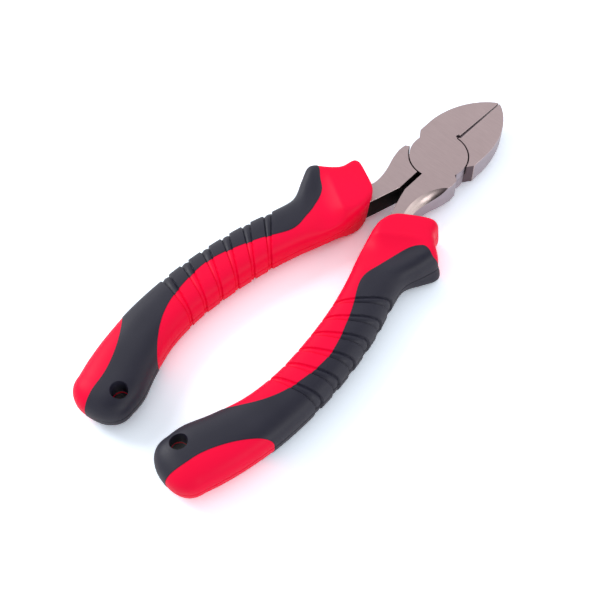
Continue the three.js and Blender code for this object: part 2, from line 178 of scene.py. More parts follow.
def new_material(name):
    """An empty material, its tree, its object coordinates and its shader."""
    material = bpy.data.materials.new(name)
    material.use_nodes = True
    tree = material.node_tree
    tree.nodes.clear()
    shader = add(tree, "ShaderNodeBsdfPrincipled")
    add(tree, "ShaderNodeOutputMaterial", {"Surface": shader.outputs["BSDF"]})
    place = add(tree, "ShaderNodeTexCoord").outputs["Object"]
    return material, tree, place, shader


def surface_grain():
    """Shared effect: fine grain drawn out along one axis, and soft clouds over it."""
    group = bpy.data.node_groups.new("surface_grain", "ShaderNodeTree")
    sockets = group.interface
    sockets.new_socket("Place", in_out="INPUT", socket_type="NodeSocketVector")
    sockets.new_socket("Stretch", in_out="INPUT", socket_type="NodeSocketVector")
    sockets.new_socket("Grain Scale", in_out="INPUT", socket_type="NodeSocketFloat")
    sockets.new_socket("Cloud Scale", in_out="INPUT", socket_type="NodeSocketFloat")
    sockets.new_socket("Grain", in_out="OUTPUT", socket_type="NodeSocketFloat")
    sockets.new_socket("Cloud", in_out="OUTPUT", socket_type="NodeSocketFloat")
    given = group.nodes.new("NodeGroupInput")
    drawn = add(group, "ShaderNodeVectorMath", {0: given.outputs["Place"], 1: given.outputs["Stretch"]},
                operation="MULTIPLY")
    grain = add(group, "ShaderNodeTexNoise", {
        "Vector": drawn.outputs["Vector"], "Scale": given.outputs["Grain Scale"], "Detail": GRAIN_DETAIL})
    cloud = add(group, "ShaderNodeTexNoise", {
        "Vector": given.outputs["Place"], "Scale": given.outputs["Cloud Scale"], "Detail": CLOUD_DETAIL})
    add(group, "NodeGroupOutput", {"Grain": grain.outputs["Fac"], "Cloud": cloud.outputs["Fac"]})
    return group


GRAIN = surface_grain()


def grain_in(tree, place, stretch, grain_scale, cloud_scale):
    """The shared grain with a material's own values."""
    return add(tree, "ShaderNodeGroup", {
        "Place": place, "Stretch": stretch, "Grain Scale": grain_scale, "Cloud Scale": cloud_scale,
    }, node_tree=GRAIN)


def mixed_colour(tree, share, first, second):
    """Two colours mixed. The Mix node's colour sockets go by number, because its names repeat."""
    return add(tree, "ShaderNodeMix", {0: share, 6: first, 7: second}, data_type="RGBA").outputs[2]


def ranged(tree, noise, low=0.0, high=1.0):
    """The middle of a noise's range, spread between two values."""
    return add(tree, "ShaderNodeMapRange", {
        "Value": noise, "From Min": NOISE_SPAN[0], "From Max": NOISE_SPAN[1], "To Min": low, "To Max": high,
    }).outputs["Result"]


def along_tool(tree, place, span):
    """Rises from 0 to 1 between two places along the tool."""
    along = add(tree, "ShaderNodeSeparateXYZ", {"Vector": place}).outputs["Y"]
    return add(tree, "ShaderNodeMapRange", {
        "Value": along, "From Min": span[0], "From Max": span[1]}).outputs["Result"]


def bumped(tree, height, strength, depth):
    """The normal of a surface that a height roughens."""
    return add(tree, "ShaderNodeBump", {
        "Height": height, "Strength": strength, "Distance": depth}).outputs["Normal"]


def ground_steel():
    """Surface-ground faces: fine lines across the tool, over a satin that clouds a little."""
    material, tree, place, shader = new_material("ground_steel")
    grain = grain_in(tree, place, GROUND_STRETCH, GROUND_GRAIN_SCALE, GROUND_CLOUD_SCALE)
    colour = mixed_colour(tree, ranged(tree, grain.outputs["Grain"]), GROUND_COLOUR, GROUND_SHADE)
    satin = ranged(tree, grain.outputs["Cloud"], *GROUND_ROUGHNESS)
    lines = bumped(tree, grain.outputs["Grain"], GROUND_BUMP, GROUND_BUMP_DEPTH)
    tree.links.new(colour, shader.inputs["Base Color"])
    tree.links.new(satin, shader.inputs["Roughness"])
    tree.links.new(lines, shader.inputs["Normal"])
    shader.inputs["Metallic"].default_value = 1.0
    return material


def bright_edge_steel():
    """Edges that tumbling and handling have broken and polished."""
    material, tree, place, shader = new_material("bright_edge_steel")
    grain = grain_in(tree, place, EVEN_GRAIN, EDGE_GRAIN_SCALE, EDGE_CLOUD_SCALE)
    colour = mixed_colour(tree, ranged(tree, grain.outputs["Grain"]), EDGE_COLOUR, GROUND_COLOUR)
    polish = ranged(tree, grain.outputs["Cloud"], *EDGE_ROUGHNESS)
    tree.links.new(colour, shader.inputs["Base Color"])
    tree.links.new(polish, shader.inputs["Roughness"])
    shader.inputs["Metallic"].default_value = 1.0
    return material


def tumbled_steel():
    """The forged outside of jaws and tangs: tumbled, cooler in tone than the ground faces."""
    material, tree, place, shader = new_material("tumbled_steel")
    grain = grain_in(tree, place, SIDE_STRETCH, SIDE_GRAIN_SCALE, SIDE_CLOUD_SCALE)
    colour = mixed_colour(tree, ranged(tree, grain.outputs["Cloud"]), SIDE_COLOUR, SIDE_SHADE)
    satin = ranged(tree, grain.outputs["Grain"], *SIDE_ROUGHNESS)
    dents = bumped(tree, grain.outputs["Grain"], SIDE_BUMP, SIDE_BUMP_DEPTH)
    tree.links.new(colour, shader.inputs["Base Color"])
    tree.links.new(satin, shader.inputs["Roughness"])
    tree.links.new(dents, shader.inputs["Normal"])
    shader.inputs["Metallic"].default_value = 1.0
    return material


def wheel_ground_steel():
    """The hollow along the tang, ground bright by a round wheel, with painted shade that darkens it towards
    its front end.
    """
    material, tree, place, shader = new_material("wheel_ground_steel")
    grain = grain_in(tree, place, HOLLOW_STRETCH, HOLLOW_GRAIN_SCALE, HOLLOW_CLOUD_SCALE)
    colour = mixed_colour(tree, along_tool(tree, place, HOLLOW_PAINTED_SHADE_SPAN), HOLLOW_COLOUR, HOLLOW_PAINTED_SHADE)
    polish = ranged(tree, grain.outputs["Grain"], *HOLLOW_ROUGHNESS)
    tree.links.new(colour, shader.inputs["Base Color"])
    tree.links.new(polish, shader.inputs["Roughness"])
    shader.inputs["Metallic"].default_value = 1.0
    return material


def scale_and_shade_steel():
    """Walls left as they came from the furnace: black scale between the tangs, browner at the jaws. The same
    dark finish is painted shade on the cutting bevels along the slit and on the walls of the gap round the
    boss.
    """
    material, tree, place, shader = new_material("scale_and_shade_steel")
    grain = grain_in(tree, place, EVEN_GRAIN, SCALE_GRAIN_SCALE, SCALE_CLOUD_SCALE)
    colour = mixed_colour(tree, along_tool(tree, place, SCALE_SPAN), SCALE_AND_SHADE_COLOUR, SCALE_AND_SHADE_BROWN)
    crust = bumped(tree, grain.outputs["Grain"], SCALE_BUMP, SCALE_BUMP_DEPTH)
    dullness = ranged(tree, grain.outputs["Grain"], *SCALE_ROUGHNESS)
    tree.links.new(colour, shader.inputs["Base Color"])
    tree.links.new(dullness, shader.inputs["Roughness"])
    tree.links.new(crust, shader.inputs["Normal"])
    shader.inputs["Specular IOR Level"].default_value = SCALE_SPECULAR
    return material


LEVER_FINISHES = [ground_steel(), bright_edge_steel(), scale_and_shade_steel(), tumbled_steel(), wheel_ground_steel()]
GROUND, BRIGHT, SCALE_AND_SHADE, TUMBLED, HOLLOW = range(len(LEVER_FINISHES))


def finished_mesh(piece):
    """The piece's mesh with its modifiers worked in."""
    bpy.context.view_layer.update()
    shown = piece.evaluated_get(bpy.context.evaluated_depsgraph_get())
    return bpy.data.meshes.new_from_object(shown)


def settle(piece):
    """Works the piece's modifiers in."""
    piece.data = finished_mesh(piece)
    piece.modifiers.clear()


def clear_slivers(mesh):
    """Merges the slivers that cutting leaves, and takes off the crumbs that only hang on by an edge."""
    solid = bmesh.new()
    solid.from_mesh(mesh)
    bmesh.ops.remove_doubles(solid, verts=solid.verts, dist=SLIVER)
    bmesh.ops.dissolve_degenerate(solid, edges=solid.edges, dist=SLIVER)
    bmesh.ops.triangulate(solid, faces=solid.faces)
    reached = set()
    crumbs = []
    for face in solid.faces:
        if face in reached:
            continue
        reached.add(face)
        group = [face]
        for member in group:
            for edge in member.edges:
                if len(edge.link_faces) == 2:
                    fresh = [other for other in edge.link_faces if other not in reached]
                    reached.update(fresh)
                    group += fresh
        if len(group) < CRUMB_FACES:
            crumbs += group
    bmesh.ops.delete(solid, geom=crumbs, context="FACES")
    bmesh.ops.delete(solid, geom=[edge for edge in solid.edges if edge.is_wire], context="EDGES")
    bmesh.ops.holes_fill(solid, edges=[edge for edge in solid.edges if edge.is_boundary])
    solid.to_mesh(mesh)
    solid.free()


def finish_of(face):
    """The finish that a face of the lever has, by where it lies and how it stands."""
    centre = face.calc_center_median()
    upright = abs(face.normal.z) < STEEP_FACE
    flat = abs(face.normal.z) > FLAT_FACE
    if centre.y < HOLLOW_START and 1 - FLAT_FACE < abs(face.normal.z) < FLAT_FACE:
        return HOLLOW
    # Painted shade: the cutting bevels along the slit between the jaws get the dark scale finish.
    if centre.y > CUTTING_START and abs(centre.x) < CUTTING_BEVEL and not flat:
        return SCALE_AND_SHADE
    if not upright:
        return GROUND
    shoulder = (face.normal.y < -SHOULDER_SLANT and 0 < centre.y < SHOULDER_REACH
                and centre.xy.length > SHOULDER_RADIUS)
    # Painted shade: the walls of the gap round the boss get the dark scale finish, which darkens the gap
    # line.
    inward = face.normal.dot(centre) < 0 or abs(centre.y) > RECESS_MOUTH
    recess = centre.xy.length < RECESS_RADIUS and inward
    between = centre.y < 0 and face.normal.x * centre.x < 0
    return SCALE_AND_SHADE if shoulder or recess or between else TUMBLED


def lever(name, node, body):
    """The lever's own solid: faces joined up, cutting bevel run out at the nose, edges broken."""
    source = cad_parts[node].data
    solid = bmesh.new()
    solid.from_mesh(source)
    bmesh.ops.remove_doubles(solid, verts=solid.verts, dist=MERGE_DISTANCE)
    bmesh.ops.dissolve_limit(solid, angle_limit=FLAT_ANGLE, verts=solid.verts, edges=solid.edges)
    for vertex in solid.verts:
        if (vertex.co - NOSE_CORNER).length < NOSE_REACH:
            vertex.co = NOSE_RUN_OUT
    solid.normal_update()
    weight = solid.edges.layers.float.new("bevel_weight_edge")
    for face in solid.faces:
        face.material_index = finish_of(face)
        face.smooth = True
    for edge in solid.edges:
        angle = edge.calc_face_angle()
        flat = any(abs(face.normal.z) > FLAT_FACE for face in edge.link_faces)
        clear = min(vertex.co.xy.length for vertex in edge.verts) > JOINT_KEEP_OUT
        plain = all(face.material_index != HOLLOW for face in edge.link_faces)
        edge.smooth = angle < (FLAT_ANGLE if flat else SHARP_ANGLE)
        if clear and plain and angle > SHARP_ANGLE:
            edge[weight] = 1.0
    mesh = bpy.data.meshes.new(name)
    solid.to_mesh(mesh)
    solid.free()
    for finish in LEVER_FINISHES:
        mesh.materials.append(finish)
    piece = bpy.data.objects.new(name, mesh)
    scene.collection.objects.link(piece)
    broken = piece.modifiers.new("broken_edges", "BEVEL")
    broken.limit_method = "WEIGHT"
    broken.width = EDGE_ROUND
    broken.segments = EDGE_ROUND_STEPS
    broken.material = BRIGHT
    broken.use_clamp_overlap = False
    settle(piece)
    clear_slivers(piece.data)
    crisp = piece.modifiers.new("flat_faces", "WEIGHTED_NORMAL")
    crisp.keep_sharp = True
    settle(piece)
    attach(piece, body)
    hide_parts(node)


lever("upper_lever_forging", "upper_lever", "right_half")
lever("lower_lever_forging", "lower_lever", "left_half")


# Rivet: a steel pin whose ends are peened into the countersinks and ground flush with the joint.
# After grinding its rim is hardly to be seen.
TURNING_STEPS = 96
RIVET_FLUSH = 0.004 * MM
RIVET_RADIUS = 3.2 * MM
RIVET_HEAD_RADIUS = 4.055 * MM
RIVET_HEAD_DEPTH = 0.8 * MM

rivet_low, rivet_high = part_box("pivot_rivet")
rivet_outline = [
    (0, rivet_low.z + RIVET_FLUSH),
    (RIVET_HEAD_RADIUS, rivet_low.z + RIVET_FLUSH),
    (RIVET_RADIUS, rivet_low.z + RIVET_HEAD_DEPTH),
    (RIVET_RADIUS, rivet_high.z - RIVET_HEAD_DEPTH),
    (RIVET_HEAD_RADIUS, rivet_high.z - RIVET_FLUSH),
    (0, rivet_high.z - RIVET_FLUSH),
]


def turned(name, outline, centre=(0, 0)):
    """A solid turned about an upright axis, from its outline as (radius, height) pairs."""
    solid = bmesh.new()
    line = [solid.verts.new((centre[0] + radius, centre[1], height)) for radius, height in outline]
    edges = [solid.edges.new(pair) for pair in zip(line, line[1:])]
    bmesh.ops.spin(solid, geom=line + edges, cent=(*centre, 0), axis=(0, 0, 1), angle=2 * math.pi,
                   steps=TURNING_STEPS, use_merge=True)
    bmesh.ops.remove_doubles(solid, verts=solid.verts, dist=MERGE_DISTANCE)
    bmesh.ops.recalc_face_normals(solid, faces=solid.faces)
    mesh = bpy.data.meshes.new(name)
    solid.to_mesh(mesh)
    solid.free()
    return mesh


rivet = bpy.data.objects.new("flush_rivet", turned("flush_rivet", rivet_outline))
scene.collection.objects.link(rivet)
rivet.data.materials.append(LEVER_FINISHES[GROUND])
rivet.data.shade_smooth()
rivet.data.set_sharp_from_angle(angle=SHARP_ANGLE)
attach(rivet, "right_half")
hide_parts("pivot_rivet")


# Grip sleeves: hard red plastic moulded onto each tang, with a raised collar, a finger stop and a round end.
# Six shallow grooves fan out across it, and a seam runs all round where the mould's halves met.
HANDLE_REACH = 125.6 * MM
HANDLE_SPREAD = 29.9 * MM
MID_HEIGHT = (rivet_low.z + rivet_high.z) / 2
COLLAR_HALF_THICKNESS = 6.6 * MM
COLLAR_SOFTNESS = 0.45 * MM
COLLAR_LEAN = 1.0 * MM
COLLAR_FORWARD = 0.45 * MM
COLLAR_CUTBACK = 1.2 * MM
STOP_LEAN = 0.7 * MM
STOP_FLARE = 2.1 * MM
SADDLE_RIDGE = np.array((13.4, -31.95)) * MM
SADDLE_AWAY = np.array((0.52, -0.854))
SADDLE_FALL = 5.0 * MM
SADDLE_REACH = 13.0 * MM
SADDLE_DEPTH = 1.3 * MM
SADDLE_SPAN = (0.10, 0.90)
SADDLE_SHOULDER = (0.40, 0.85)
FRONT_ROUND = 1.3 * MM
FRONT_RINGS = 7
RING_STEP = 0.6 * MM
GROOVE_COUNT = 6
NO_GROOVE = -1.0
GROOVE_REACH = 0.30
GROOVE_STEPS = 44
RIDGE_STEPS = 8
GROOVE_INNER_DEPTH = 0.55 * MM
GROOVE_OUTER_DEPTH = 0.65 * MM
GROOVE_FLOOR = 0.76
GROOVE_CROWN = 0.60
GROOVE_INNER_WIDTH = 1.5 * MM
GROOVE_OUTER_WIDTH = 3.5 * MM
GROOVE_INNER_SPAN = (0.388, 0.681)
GROOVE_OUTER_SPAN = (0.321, 0.654)
END_LENGTH = 7.4 * MM
END_RINGS = 26
END_SQUARE = 2.3
SECTION_QUARTER = 25
SEAM_DEPTH = 0.40 * MM
SEAM_HALF_WIDTH = 0.20 * MM
SEAM_ANGLES = (0.0, 0.007, 0.016)
LINE_STEPS = 24
COVER_THICKNESS = 1.5 * MM
COVER_GAP = 0.03 * MM
COVER_LEAN = 1.2 * MM
COVER_LEAN_OUTSIDE = -1.4 * MM
COVER_LEAN_TURN = (18.5 * MM, 24.0 * MM)
COVER_LEAN_SPAN = (-44 * MM, -38 * MM)
HOLE_PLACE = (0.376, 0.972)
HOLE_RADIUS = 2.35 * MM
HOLE_FLARE = 0.25 * MM
HOLE_FLARE_DEPTH = 1.1 * MM
HOLE_FLARE_BEND = (0.3, 0.4)
# The hanging hole's dark lining: the cover's own near the faces, painted shade further in.
HOLE_LINING = 0.8 * MM
HOLE_LINING_AND_SHADE_DEPTH = 5.1 * MM
HOLE_FACE = 5.55 * MM
CUT_REACH = 25 * MM
RED_COLOUR = (0.94, 0.001, 0.050, 1)
RED_SHADE = (0.91, 0.001, 0.044, 1)
RED_GRAIN_SCALE = 4200.0
RED_CLOUD_SCALE = 60.0
RED_ROUGHNESS = (0.38, 0.50)
RED_BUMP = 0.12
RED_BUMP_DEPTH = 0.04 * MM
RED_SPECULAR = 0.12

# Stations from the collar to the rounded end: inner and outer edge as shares of the spread and the reach,
# then half the thickness in millimetres and the squareness of the section.
GRIP_STATIONS = [
    ((0.184, 0.202), (0.502, 0.164), 6.4, 6.0),
    ((0.130, 0.222), (0.575, 0.169), 6.8, 6.0),
    ((0.110, 0.252), (0.615, 0.196), 6.8, 6.0),
    ((0.117, 0.275), (0.712, 0.217), 6.8, 5.4),
    ((0.134, 0.299), (0.826, 0.242), 6.7, 4.0),
    ((0.164, 0.326), (0.796, 0.282), 6.1, 3.4),
    ((0.221, 0.370), (0.732, 0.336), 5.6, 3.0),
    ((0.301, 0.422), (0.783, 0.395), 5.7, 2.9),
    ((0.388, 0.494), (0.876, 0.471), 5.8, 2.9),
    ((0.448, 0.569), (0.943, 0.553), 5.8, 2.9),
    ((0.488, 0.649), (0.987, 0.639), 5.8, 2.9),
    ((0.498, 0.717), (1.000, 0.725), 5.8, 2.9),
    ((0.462, 0.796), (0.985, 0.812), 5.9, 2.9),
    ((0.361, 0.872), (0.935, 0.892), 5.9, 2.9),
    ((0.254, 0.932), (0.873, 0.955), 5.9, 2.9),
    ((0.222, 0.974), (0.814, 1.000), 5.7, 2.7),
]
COLLAR_STATIONS = (1, 3)
STOP_STATIONS = (2, 4, 6)
LAST_BEFORE_GROOVES = 6
FIRST_BEHIND_GROOVES = 12

# Where the dark cover meets the sleeve, in the same shares: along the handle, and beside the rear patch.
FRONT_BORDER = [
    (0.970, 0.226), (0.803, 0.240), (0.702, 0.244), (0.610, 0.256), (0.545, 0.273), (0.500, 0.302),
    (0.455, 0.354), (0.441, 0.410), (0.609, 0.489), (0.749, 0.576), (0.783, 0.637), (0.742, 0.719),
    (0.659, 0.775), (0.522, 0.824), (0.341, 0.870), (0.100, 0.927),
]
REAR_BORDER = [
    (1.137, 0.809), (0.997, 0.828), (0.863, 0.857), (0.716, 0.906), (0.609, 0.960), (0.555, 1.015),
    (0.468, 1.083),
]


def on_handle(place):
    """The point at shares of the spread and the reach."""
    return np.array((place[0] * HANDLE_SPREAD, -place[1] * HANDLE_REACH))


def smooth_line(points):
    """Close points on the smooth line through the given ones."""
    points = np.asarray(points, float)
    padded = np.vstack([points[:1], points, points[-1:]])
    share = np.linspace(0, 1, LINE_STEPS, endpoint=False)[:, None]
    pieces = []
    for before, start, end, after in zip(padded, padded[1:], padded[2:], padded[3:]):
        leave = (end - before) / 2
        arrive = (after - start) / 2
        pieces.append((2 * start - 2 * end + leave + arrive) * share**3
                      + (3 * end - 3 * start - 2 * leave - arrive) * share**2 + leave * share + start)
    return np.vstack(pieces + [points[-1:]])


def distances(line):
    """How far along a line each of its points lies."""
    return np.concatenate([[0], np.cumsum(np.linalg.norm(np.diff(line, axis=0), axis=1))])


def point_at(line, places):
    """The points at given distances along a line."""
    run = distances(line)
    return np.stack([np.interp(places, run, line[:, 0]), np.interp(places, run, line[:, 1])], axis=1)


inner_line = smooth_line([on_handle(station[0]) for station in GRIP_STATIONS])
outer_line = smooth_line([on_handle(station[1]) for station in GRIP_STATIONS])
inner_stops = distances(inner_line)[::LINE_STEPS]
outer_stops = distances(outer_line)[::LINE_STEPS]
half_line = smooth_line([(stop, station[2] * MM) for stop, station in zip(inner_stops, GRIP_STATIONS)])
square_line = smooth_line([(stop, station[3]) for stop, station in zip(inner_stops, GRIP_STATIONS)])


def groove_place(row):
    """Where a line that lies at this row of the groove pattern crosses the two edges."""
    share = row / (GROOVE_COUNT - 1)
    inner = inner_stops[-1] * (GROOVE_INNER_SPAN[0] + share * (GROOVE_INNER_SPAN[1] - GROOVE_INNER_SPAN[0]))
    outer = outer_stops[-1] * (GROOVE_OUTER_SPAN[0] + share * (GROOVE_OUTER_SPAN[1] - GROOVE_OUTER_SPAN[0]))
    return inner, outer


def ring_table():
    """Every ring of the grip as (inner distance, outer distance, inset, row of the groove pattern)."""
    table = []
    for turn in np.linspace(0, math.pi / 2, FRONT_RINGS):
        along = FRONT_ROUND * (1 - math.cos(turn))
        table.append((along, along, FRONT_ROUND * (1 - math.sin(turn)), NO_GROOVE))
    fixed = list(zip(inner_stops, outer_stops))

    def bridge(target):
        start = np.array(table[-1][:2])
        steps = max(2, int(np.linalg.norm(np.array(target) - start) / (math.sqrt(2) * RING_STEP)))
        for share in np.linspace(0, 1, steps + 1)[1:]:
            table.append((*(start + share * (np.array(target) - start)), 0.0, NO_GROOVE))

    for stop in fixed[1:LAST_BEFORE_GROOVES + 1]:
        bridge(stop)
    groove = np.linspace(-GROOVE_REACH, GROOVE_REACH, GROOVE_STEPS + 1)
    bridge(groove_place(2 * groove[0] - groove[1]))
    ridge = np.linspace(GROOVE_REACH, 1 - GROOVE_REACH, RIDGE_STEPS + 1)[1:-1]
    for first in range(GROOVE_COUNT):
        for row in first + np.concatenate([groove, ridge]):
            table.append((*groove_place(row), 0.0, row))
    for stop in fixed[FIRST_BEHIND_GROOVES:]:
        bridge(stop)
    return np.array(table)


def section_angles():
    """Angles round the section: close together at the seam, and evenly spread between."""
    quarter = list(SEAM_ANGLES) + list(np.linspace(0, math.pi / 2, SECTION_QUARTER + 1)[1:])
    half = quarter + [math.pi - angle for angle in quarter[-2::-1]]
    return np.array(half + [math.pi + angle for angle in half[1:-1]])


def soft_top(height):
    """Flattens the collar's faces, with a soft shoulder to them."""
    level = COLLAR_HALF_THICKNESS - COLLAR_SOFTNESS
    over = np.maximum(np.abs(height) - level, 0)
    softened = level + COLLAR_SOFTNESS * (1 - np.exp(-over / COLLAR_SOFTNESS))
    return np.where(np.abs(height) > level, np.sign(height) * softened, height)


def section(centre, across, half_width, half_thickness, square, angles):
    """Rings of points on rounded boxes that stand across the handle."""
    power = 2 / square[:, None]
    wide = np.sign(np.cos(angles)) * np.abs(np.cos(angles)) ** power * half_width[:, None]
    tall = np.sign(np.sin(angles)) * np.abs(np.sin(angles)) ** power * half_thickness[:, None]
    seam = np.isclose(np.sin(angles), 0) * np.sign(np.cos(angles)) * SEAM_DEPTH
    lip = np.isclose(np.abs(np.sin(angles)), math.sin(SEAM_ANGLES[1]))
    tall = np.where(lip, np.clip(tall, -SEAM_HALF_WIDTH, SEAM_HALF_WIDTH), tall)
    plan = centre[:, None, :] + across[:, None, :] * (wide - seam)[:, :, None]
    height = (MID_HEIGHT + soft_top(tall))[:, :, None]
    return np.concatenate([plan, height], axis=2), wide / half_width[:, None]


def eased(low, high, value):
    """Rises softly from 0 to 1 between two values."""
    share = np.clip((value - low) / (high - low), 0, 1)
    return share * share * (3 - 2 * share)


def lean(points, share, along):
    """Leans the collar's front, flares the finger stop and sinks the saddle behind the collar's ridge."""
    collar_start, collar_end = (outer_stops[station] for station in COLLAR_STATIONS)
    stop_start, stop_top, stop_end = (outer_stops[station] for station in STOP_STATIONS)
    collar = 1 - eased(collar_start, collar_end, along)[:, None]
    stop = eased(stop_start, stop_top, along) * (1 - eased(stop_top, stop_end, along))
    height = (points[:, :, 2] - MID_HEIGHT) / COLLAR_HALF_THICKNESS
    away = (points[:, :, :2] - SADDLE_RIDGE) @ SADDLE_AWAY
    fall = 1 - (1 - np.clip(away / SADDLE_FALL, 0, 1)) ** 2
    saddle = fall * (1 - eased(SADDLE_FALL, SADDLE_REACH, away)) * (1 - eased(*SADDLE_SPAN, share))
    slant = np.where(height < 0, STOP_FLARE, STOP_LEAN)
    points[:, :, 0] -= stop[:, None] * slant * height * (1 + share) / 2
    cutback = COLLAR_CUTBACK * ((1 - share) / 2) ** 2 * (1 + height) / 2
    points[:, :, 1] += collar * (COLLAR_FORWARD - COLLAR_LEAN * height - cutback)
    points[:, :, 2] -= np.sign(height) * SADDLE_DEPTH * saddle * eased(*SADDLE_SHOULDER, np.abs(height))


def grip_rings(inset):
    """All the rings of one grip, drawn in by an inset, with their groove rows and places across."""
    table = ring_table()
    angles = section_angles()
    inner = point_at(inner_line, table[:, 0])
    outer = point_at(outer_line, table[:, 1])
    width = np.linalg.norm(outer - inner, axis=1)
    across = (outer - inner) / width[:, None]
    half = np.interp(table[:, 0], half_line[:, 0], half_line[:, 1])
    square = np.interp(table[:, 0], square_line[:, 0], square_line[:, 1])
    drawn_in = table[:, 2] + inset
    points, share = section(
        (inner + outer) / 2, across, width / 2 - drawn_in, half - drawn_in, square, angles)
    lean(points, share, table[:, 1])
    turn = np.linspace(0, math.pi / 2, END_RINGS + 1)[1:-1]
    reach = (END_LENGTH - inset) * np.sin(turn) ** (2 / END_SQUARE)
    shrink = np.cos(turn) ** (2 / END_SQUARE)
    along = np.array((across[-1][1], -across[-1][0]))
    end_points, end_share = section(
        (inner[-1] + outer[-1]) / 2 + along * reach[:, None], np.repeat(across[-1:], len(turn), axis=0),
        (width[-1] / 2 - inset) * shrink, (half[-1] - inset) * shrink, np.full(len(turn), square[-1]), angles)
    rows = np.concatenate([table[:, 3], np.full(len(turn), NO_GROOVE)])
    return np.concatenate([points, end_points]), rows, np.concatenate([share, end_share])


def loft(name, inset):
    """A closed skin over the rings, which carries the groove pattern as attributes."""
    points, rows, share = grip_rings(inset)
    count, around = points.shape[:2]
    ring = np.arange(around)
    following = np.roll(ring, -1)
    start = (np.arange(count - 1) * around)[:, None]
    near, beside = start + ring, start + following
    quads = np.stack([near, beside, beside + around, near + around], axis=2)
    faces = quads.reshape(-1, 4).tolist()
    faces.append(list(range(around))[::-1])
    faces.append(list(range((count - 1) * around, count * around)))
    mesh = bpy.data.meshes.new(name)
    mesh.from_pydata(points.reshape(-1, 3).tolist(), [], faces)
    row = mesh.attributes.new("groove_row", "FLOAT", "POINT")
    row.data.foreach_set("value", np.repeat(rows, around).astype(np.float32))
    across = mesh.attributes.new("groove_across", "FLOAT", "POINT")
    across.data.foreach_set("value", ((share + 1) / 2).reshape(-1).astype(np.float32))
    mesh.validate()
    return mesh


def groove_tree():
    """Geometry Nodes that press the fan of grooves into a grip."""
    tree = bpy.data.node_groups.new("fanned_grooves", "GeometryNodeTree")
    sockets = tree.interface
    sockets.new_socket("Geometry", in_out="INPUT", socket_type="NodeSocketGeometry")
    for name in ("Count", "Inner Depth", "Outer Depth", "Floor", "Crown", "Inner Pitch", "Outer Pitch",
                 "Inner Width", "Outer Width"):
        sockets.new_socket(name, in_out="INPUT", socket_type="NodeSocketFloat")
    sockets.new_socket("Material", in_out="INPUT", socket_type="NodeSocketMaterial")
    sockets.new_socket("Geometry", in_out="OUTPUT", socket_type="NodeSocketGeometry")
    given = tree.nodes.new("NodeGroupInput")

    def attribute(name):
        named = add(tree, "GeometryNodeInputNamedAttribute", {"Name": name}, data_type="FLOAT")
        return named.outputs["Attribute"]

    def maths(operation, *values):
        return add(tree, "ShaderNodeMath", dict(enumerate(values)), operation=operation).outputs["Value"]

    def between(share, inner, outer):
        return maths("ADD", inner, maths("MULTIPLY", share, maths("SUBTRACT", outer, inner)))

    row = attribute("groove_row")
    across = attribute("groove_across")
    last = maths("SUBTRACT", given.outputs["Count"], 1.0)
    nearest = maths("MINIMUM", maths("MAXIMUM", maths("ROUND", row), 0.0), last)
    pitch = between(across, given.outputs["Inner Pitch"], given.outputs["Outer Pitch"])
    width = between(across, given.outputs["Inner Width"], given.outputs["Outer Width"])
    aside = maths("MULTIPLY", maths("ABSOLUTE", maths("SUBTRACT", row, nearest)), pitch)
    share = maths("DIVIDE", maths("MULTIPLY", aside, 2.0), width)
    depth = between(across, given.outputs["Inner Depth"], given.outputs["Outer Depth"])
    wall = maths("DIVIDE", maths("SUBTRACT", 1.0, share), maths("SUBTRACT", 1.0, given.outputs["Floor"]))
    place = maths("DIVIDE", share, given.outputs["Floor"])
    dome = maths("MULTIPLY", given.outputs["Crown"], maths("SUBTRACT", 1.0, maths("MULTIPLY", place, place)))
    sunk = maths("MAXIMUM", maths("MINIMUM", wall, maths("SUBTRACT", 1.0, dome)), 0.0)
    press = maths("MULTIPLY", sunk, depth)
    inward = add(tree, "ShaderNodeVectorMath", {
        0: tree.nodes.new("GeometryNodeInputNormal").outputs["Normal"],
        "Scale": maths("MULTIPLY", press, -1.0),
    }, operation="SCALE").outputs["Vector"]
    pressed = add(tree, "GeometryNodeSetPosition", {"Geometry": given.outputs["Geometry"], "Offset": inward})
    real = add(tree, "GeometryNodeRealizeInstances", {"Geometry": pressed.outputs["Geometry"]})
    dressed = add(tree, "GeometryNodeSetMaterial", {
        "Geometry": real.outputs["Geometry"], "Material": given.outputs["Material"]})
    add(tree, "NodeGroupOutput", {"Geometry": dressed.outputs["Geometry"]})
    return tree


GROOVES = groove_tree()


def grooved(name, inset, material):
    """The grip's outside with its grooves, as a plain mesh."""
    piece = bpy.data.objects.new(name, loft(name, inset))
    scene.collection.objects.link(piece)
    modifier = piece.modifiers.new("fanned_grooves", "NODES")
    modifier.node_group = GROOVES
    first, second = groove_place(0), groove_place(1)
    values = {
        "Count": float(GROOVE_COUNT), "Inner Depth": GROOVE_INNER_DEPTH, "Outer Depth": GROOVE_OUTER_DEPTH,
        "Floor": GROOVE_FLOOR, "Crown": GROOVE_CROWN,
        "Inner Pitch": second[0] - first[0], "Outer Pitch": second[1] - first[1],
        "Inner Width": GROOVE_INNER_WIDTH, "Outer Width": GROOVE_OUTER_WIDTH, "Material": material,
    }
    for socket in GROOVES.interface.items_tree:
        if socket.in_out == "INPUT" and socket.name in values:
            modifier[socket.identifier] = values[socket.name]
    mesh = finished_mesh(piece)
    bpy.data.objects.remove(piece)
    return mesh


def carved(mesh, operation, cutter):
    """A solid joined to, cut by or kept inside another one."""
    piece = bpy.data.objects.new("piece", mesh)
    tool = bpy.data.objects.new("tool", cutter)
    for thing in (piece, tool):
        scene.collection.objects.link(thing)
    cut = piece.modifiers.new("cut", "BOOLEAN")
    cut.operation = operation
    cut.solver = "MANIFOLD"
    cut.object = tool
    result = finished_mesh(piece)
    for thing in (piece, tool):
        bpy.data.objects.remove(thing)
    return result


